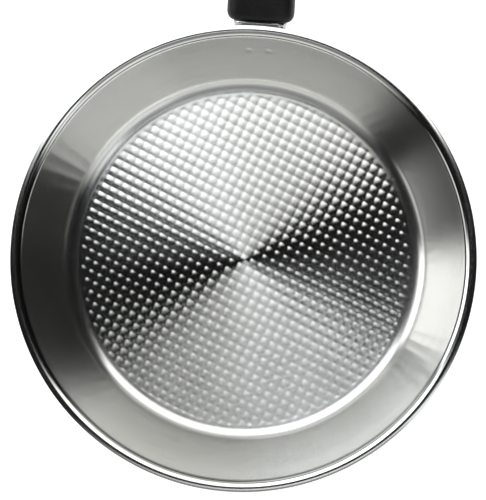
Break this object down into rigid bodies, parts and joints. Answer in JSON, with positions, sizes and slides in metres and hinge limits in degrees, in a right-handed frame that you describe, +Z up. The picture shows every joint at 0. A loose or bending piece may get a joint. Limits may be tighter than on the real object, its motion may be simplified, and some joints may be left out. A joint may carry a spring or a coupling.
{
  "type": "frying pan",
  "caption": "Round frying pan of brushed steel with a flared pouring rim, a hobnail-embossed floor, a sandwich base and a long dark moulded handle on a steel neck.",
  "frame": {"origin": "centre of the base's underside, where the pan stands on the table or hob", "axes": "+Z up through the pan's centre, +Y along the handle away from the pan, +X to the right of someone looking along +Y"},
  "size_m": [0.29, 0.4821, 0.0847],
  "materials": {
    "pan_steel": "circularly brushed stainless steel, polished on the bend and the rim",
    "core_aluminium": "plain aluminium, only its edge could be seen",
    "cap_steel": "turned magnetic stainless steel",
    "bracket_steel": "pressed stainless steel, unpolished",
    "guard_steel": "polished stainless steel",
    "plated_steel": "bright zinc-plated steel",
    "grip_phenolic": "black moulded phenolic, fine matt grain"
  },
  "bodies": {
    "root": {"pan_shell": "pan_steel", "base_core": "core_aluminium", "base_cap": "cap_steel", "handle_bracket": "bracket_steel", "bracket_nut": "plated_steel", "flame_guard": "guard_steel", "grip": "grip_phenolic", "handle_screw": "plated_steel", "flat_washer": "plated_steel", "spring_washer": "plated_steel", "hanging_eye": "guard_steel"}
  },
  "joints": []
}
